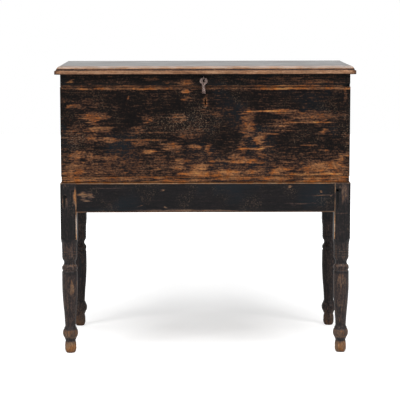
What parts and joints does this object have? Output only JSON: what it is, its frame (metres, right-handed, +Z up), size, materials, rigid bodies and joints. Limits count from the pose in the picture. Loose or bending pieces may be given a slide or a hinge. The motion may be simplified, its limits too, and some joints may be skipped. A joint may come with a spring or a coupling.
{
  "type": "sugar chest",
  "caption": "dovetailed wooden sugar chest with a hinged moulded lid, lock and hasp, on a pegged stand with turned legs, in worn black paint",
  "frame": {"origin": "middle of the bounding box at the floor, under the feet", "axes": "+X to the right along the width, -Y to the front, +Z up"},
  "size_m": [0.914, 0.486, 0.8881],
  "materials": {
    "painted_case": "satin black paint worn through to brown wood",
    "painted_lid": "satin black paint, bare tan wood on the moulded edge",
    "painted_stand": "satin black paint, worn to brown at rings and feet",
    "bare_wood": "bare aged poplar",
    "old_iron": "dark oxidised iron",
    "bare_iron": "rubbed bare iron with a brown bloom"
  },
  "bodies": {
    "base": {"case_front_board": "painted_case", "case_back_board": "painted_case", "case_left_board": "painted_case", "case_right_board": "painted_case", "front_left_leg": "painted_stand", "front_right_leg": "painted_stand", "back_left_leg": "painted_stand", "back_right_leg": "painted_stand", "front_rail": "painted_stand", "back_rail": "painted_stand", "left_rail": "painted_stand", "right_rail": "painted_stand", "rail_pegs": "painted_stand", "left_batten": "bare_wood", "right_batten": "bare_wood", "bottom_front_board": "bare_wood", "bottom_back_board": "bare_wood", "bin_divider": "bare_wood", "bottom_nails": "old_iron", "batten_nails": "old_iron", "left_hinge_case_leaf": "old_iron", "right_hinge_case_leaf": "old_iron", "hinge_pins": "old_iron", "case_hinge_screws": "old_iron", "lock_plate": "old_iron", "lock_cap": "old_iron", "lock_screws": "old_iron", "lock_spring": "old_iron"},
    "lid": {"lid_front_board": "painted_lid", "lid_back_board": "painted_lid", "lid_nails": "old_iron", "lid_front_skirt": "painted_lid", "lid_back_skirt": "painted_lid", "lid_left_skirt": "painted_lid", "lid_right_skirt": "painted_lid", "skirt_nails": "old_iron", "lock_keeper": "old_iron", "keeper_screws": "old_iron", "left_hinge_lid_leaf": "old_iron", "right_hinge_lid_leaf": "old_iron", "lid_hinge_screws": "old_iron", "hasp_staple": "bare_iron"},
    "hasp": {"hasp": "bare_iron"},
    "bolt": {"lock_bolt": "old_iron"}
  },
  "joints": [
    {"name": "lid_hinge", "type": "hinge", "parent": "base", "child": "lid", "pos_m": [0, 0.2384, 0.82525], "axis": [-1, 0, 0], "range_deg": [0, 110]},
    {"name": "hasp_swing", "type": "hinge", "parent": "lid", "child": "hasp", "pos_m": [-0.005, -0.2163, 0.851], "axis": [-1, 0, 0], "range_deg": [0, 105]},
    {"name": "lock_bolt_slide", "type": "slide", "parent": "base", "child": "bolt", "axis": [1, 0, 0], "range_m": [0, 0.01]}
  ]
}
